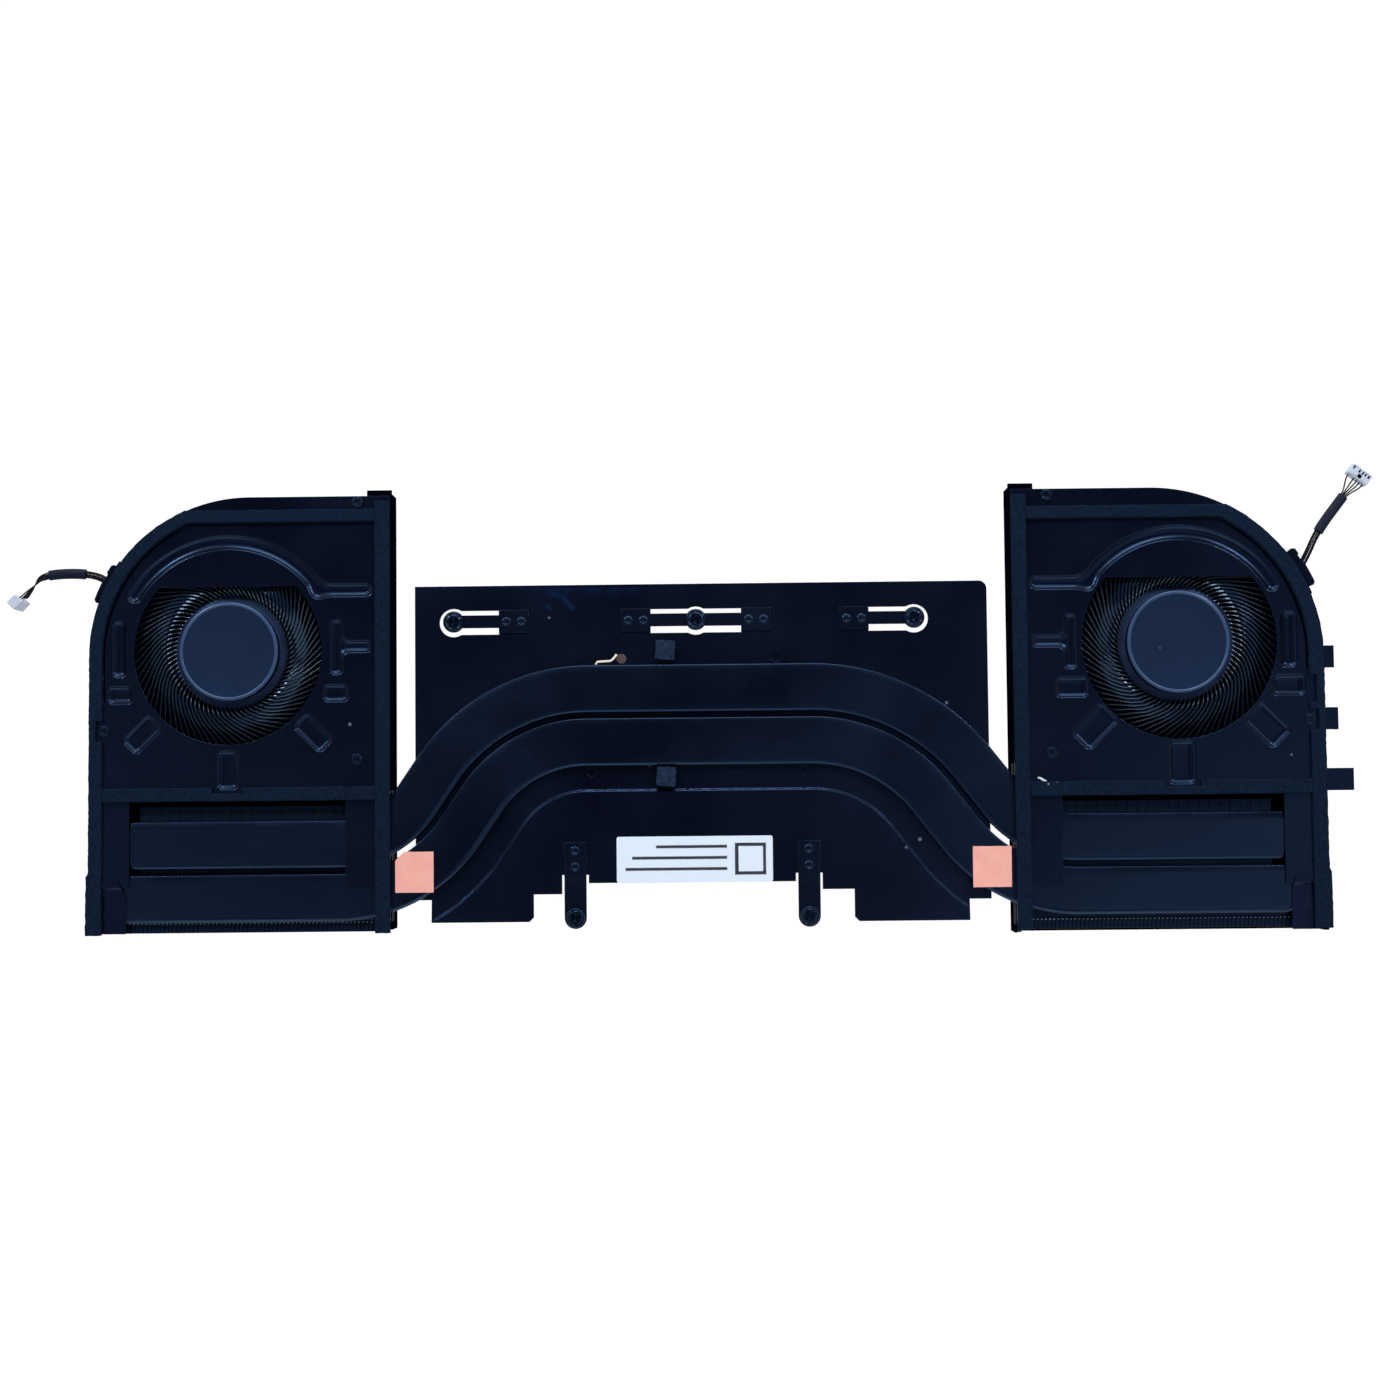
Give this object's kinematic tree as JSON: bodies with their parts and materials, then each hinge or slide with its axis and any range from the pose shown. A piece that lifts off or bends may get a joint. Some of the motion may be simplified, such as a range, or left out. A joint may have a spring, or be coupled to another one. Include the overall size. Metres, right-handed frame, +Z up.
{
  "type": "laptop cooling fan heatsink",
  "caption": "Flat laptop cooling module: blowers with curved housings and fin bays at both ends, joined by a pressed plate that carries bent flat heat pipes.",
  "frame": {"origin": "centre of the footprint, on the floor under the blowers", "axes": "+X across the module towards the larger blower, +Y from the air outlets to the back of the blowers, +Z up, away from the circuit board"},
  "size_m": [0.3734, 0.127, 0.0093],
  "materials": {
    "black_sheet": "semi-matt black coating",
    "plate_sheet": "semi-matt black coating with a blue cast",
    "pipe_coating": "smooth black coating",
    "spring_sheet": "black coated spring steel",
    "black_plastic": "moulded, matt",
    "fan_plastic": "moulded, glossy",
    "gasket_foam": "fine grained foam",
    "fins": "black coated sheet",
    "copper": "bare copper",
    "copper_foil": "matt copper foil",
    "dark_steel": "blackened",
    "steel": "ground",
    "bronze": "sintered",
    "ferrite": "matt",
    "laminated_iron": "stacked sheet",
    "circuit_board": "lacquered",
    "black_tape": "matt film",
    "lead_sleeve": "soft sleeve",
    "white_plug": "moulded",
    "label_film": "matt film"
  },
  "bodies": {
    "module": {"left_fan_base": "black_sheet", "left_fan_frame": "black_plastic", "left_fan_cover": "black_sheet", "left_cover_screws": "dark_steel", "left_bearing_sleeve": "bronze", "left_stator": "laminated_iron", "left_motor_board": "circuit_board", "left_fin_stack": "fins", "left_outer_foam": "gasket_foam", "left_inner_foam": "gasket_foam", "left_cross_foam": "gasket_foam", "left_end_tape": "black_tape", "left_lead": "lead_sleeve", "left_lead_plug": "white_plug", "right_fan_base": "black_sheet", "right_fan_frame": "black_plastic", "right_fan_cover": "black_sheet", "right_cover_screws": "dark_steel", "right_bearing_sleeve": "bronze", "right_stator": "laminated_iron", "right_motor_board": "circuit_board", "right_fin_stack": "fins", "right_outer_foam": "gasket_foam", "right_inner_foam": "gasket_foam", "right_cross_foam": "gasket_foam", "right_end_tape": "black_tape", "right_lead": "lead_sleeve", "right_lead_plug": "white_plug", "base_plate": "plate_sheet", "left_cold_plate": "copper", "right_cold_plate": "copper", "upper_heat_pipe": "pipe_coating", "lower_heat_pipe": "pipe_coating", "left_spring_arm": "spring_sheet", "middle_spring_arm": "spring_sheet", "right_spring_arm": "spring_sheet", "left_front_arm": "spring_sheet", "right_front_arm": "spring_sheet", "captive_screws": "dark_steel", "back_foam_block": "gasket_foam", "front_foam_block": "gasket_foam", "label": "label_film", "left_copper_foil": "copper_foil", "right_copper_foil": "copper_foil"},
    "left_impeller": {"left_impeller": "fan_plastic", "left_rotor_magnet": "ferrite", "left_fan_shaft": "steel"},
    "right_impeller": {"right_impeller": "fan_plastic", "right_rotor_magnet": "ferrite", "right_fan_shaft": "steel"}
  },
  "joints": [
    {"name": "left_impeller_spin", "type": "hinge", "parent": "module", "child": "left_impeller", "pos_m": [-0.1331, 0.01725, 0], "axis": [0, 0, 1], "continuous": true},
    {"name": "right_impeller_spin", "type": "hinge", "parent": "module", "child": "right_impeller", "pos_m": [0.1243, 0.01725, 0], "axis": [0, 0, 1], "continuous": true}
  ]
}
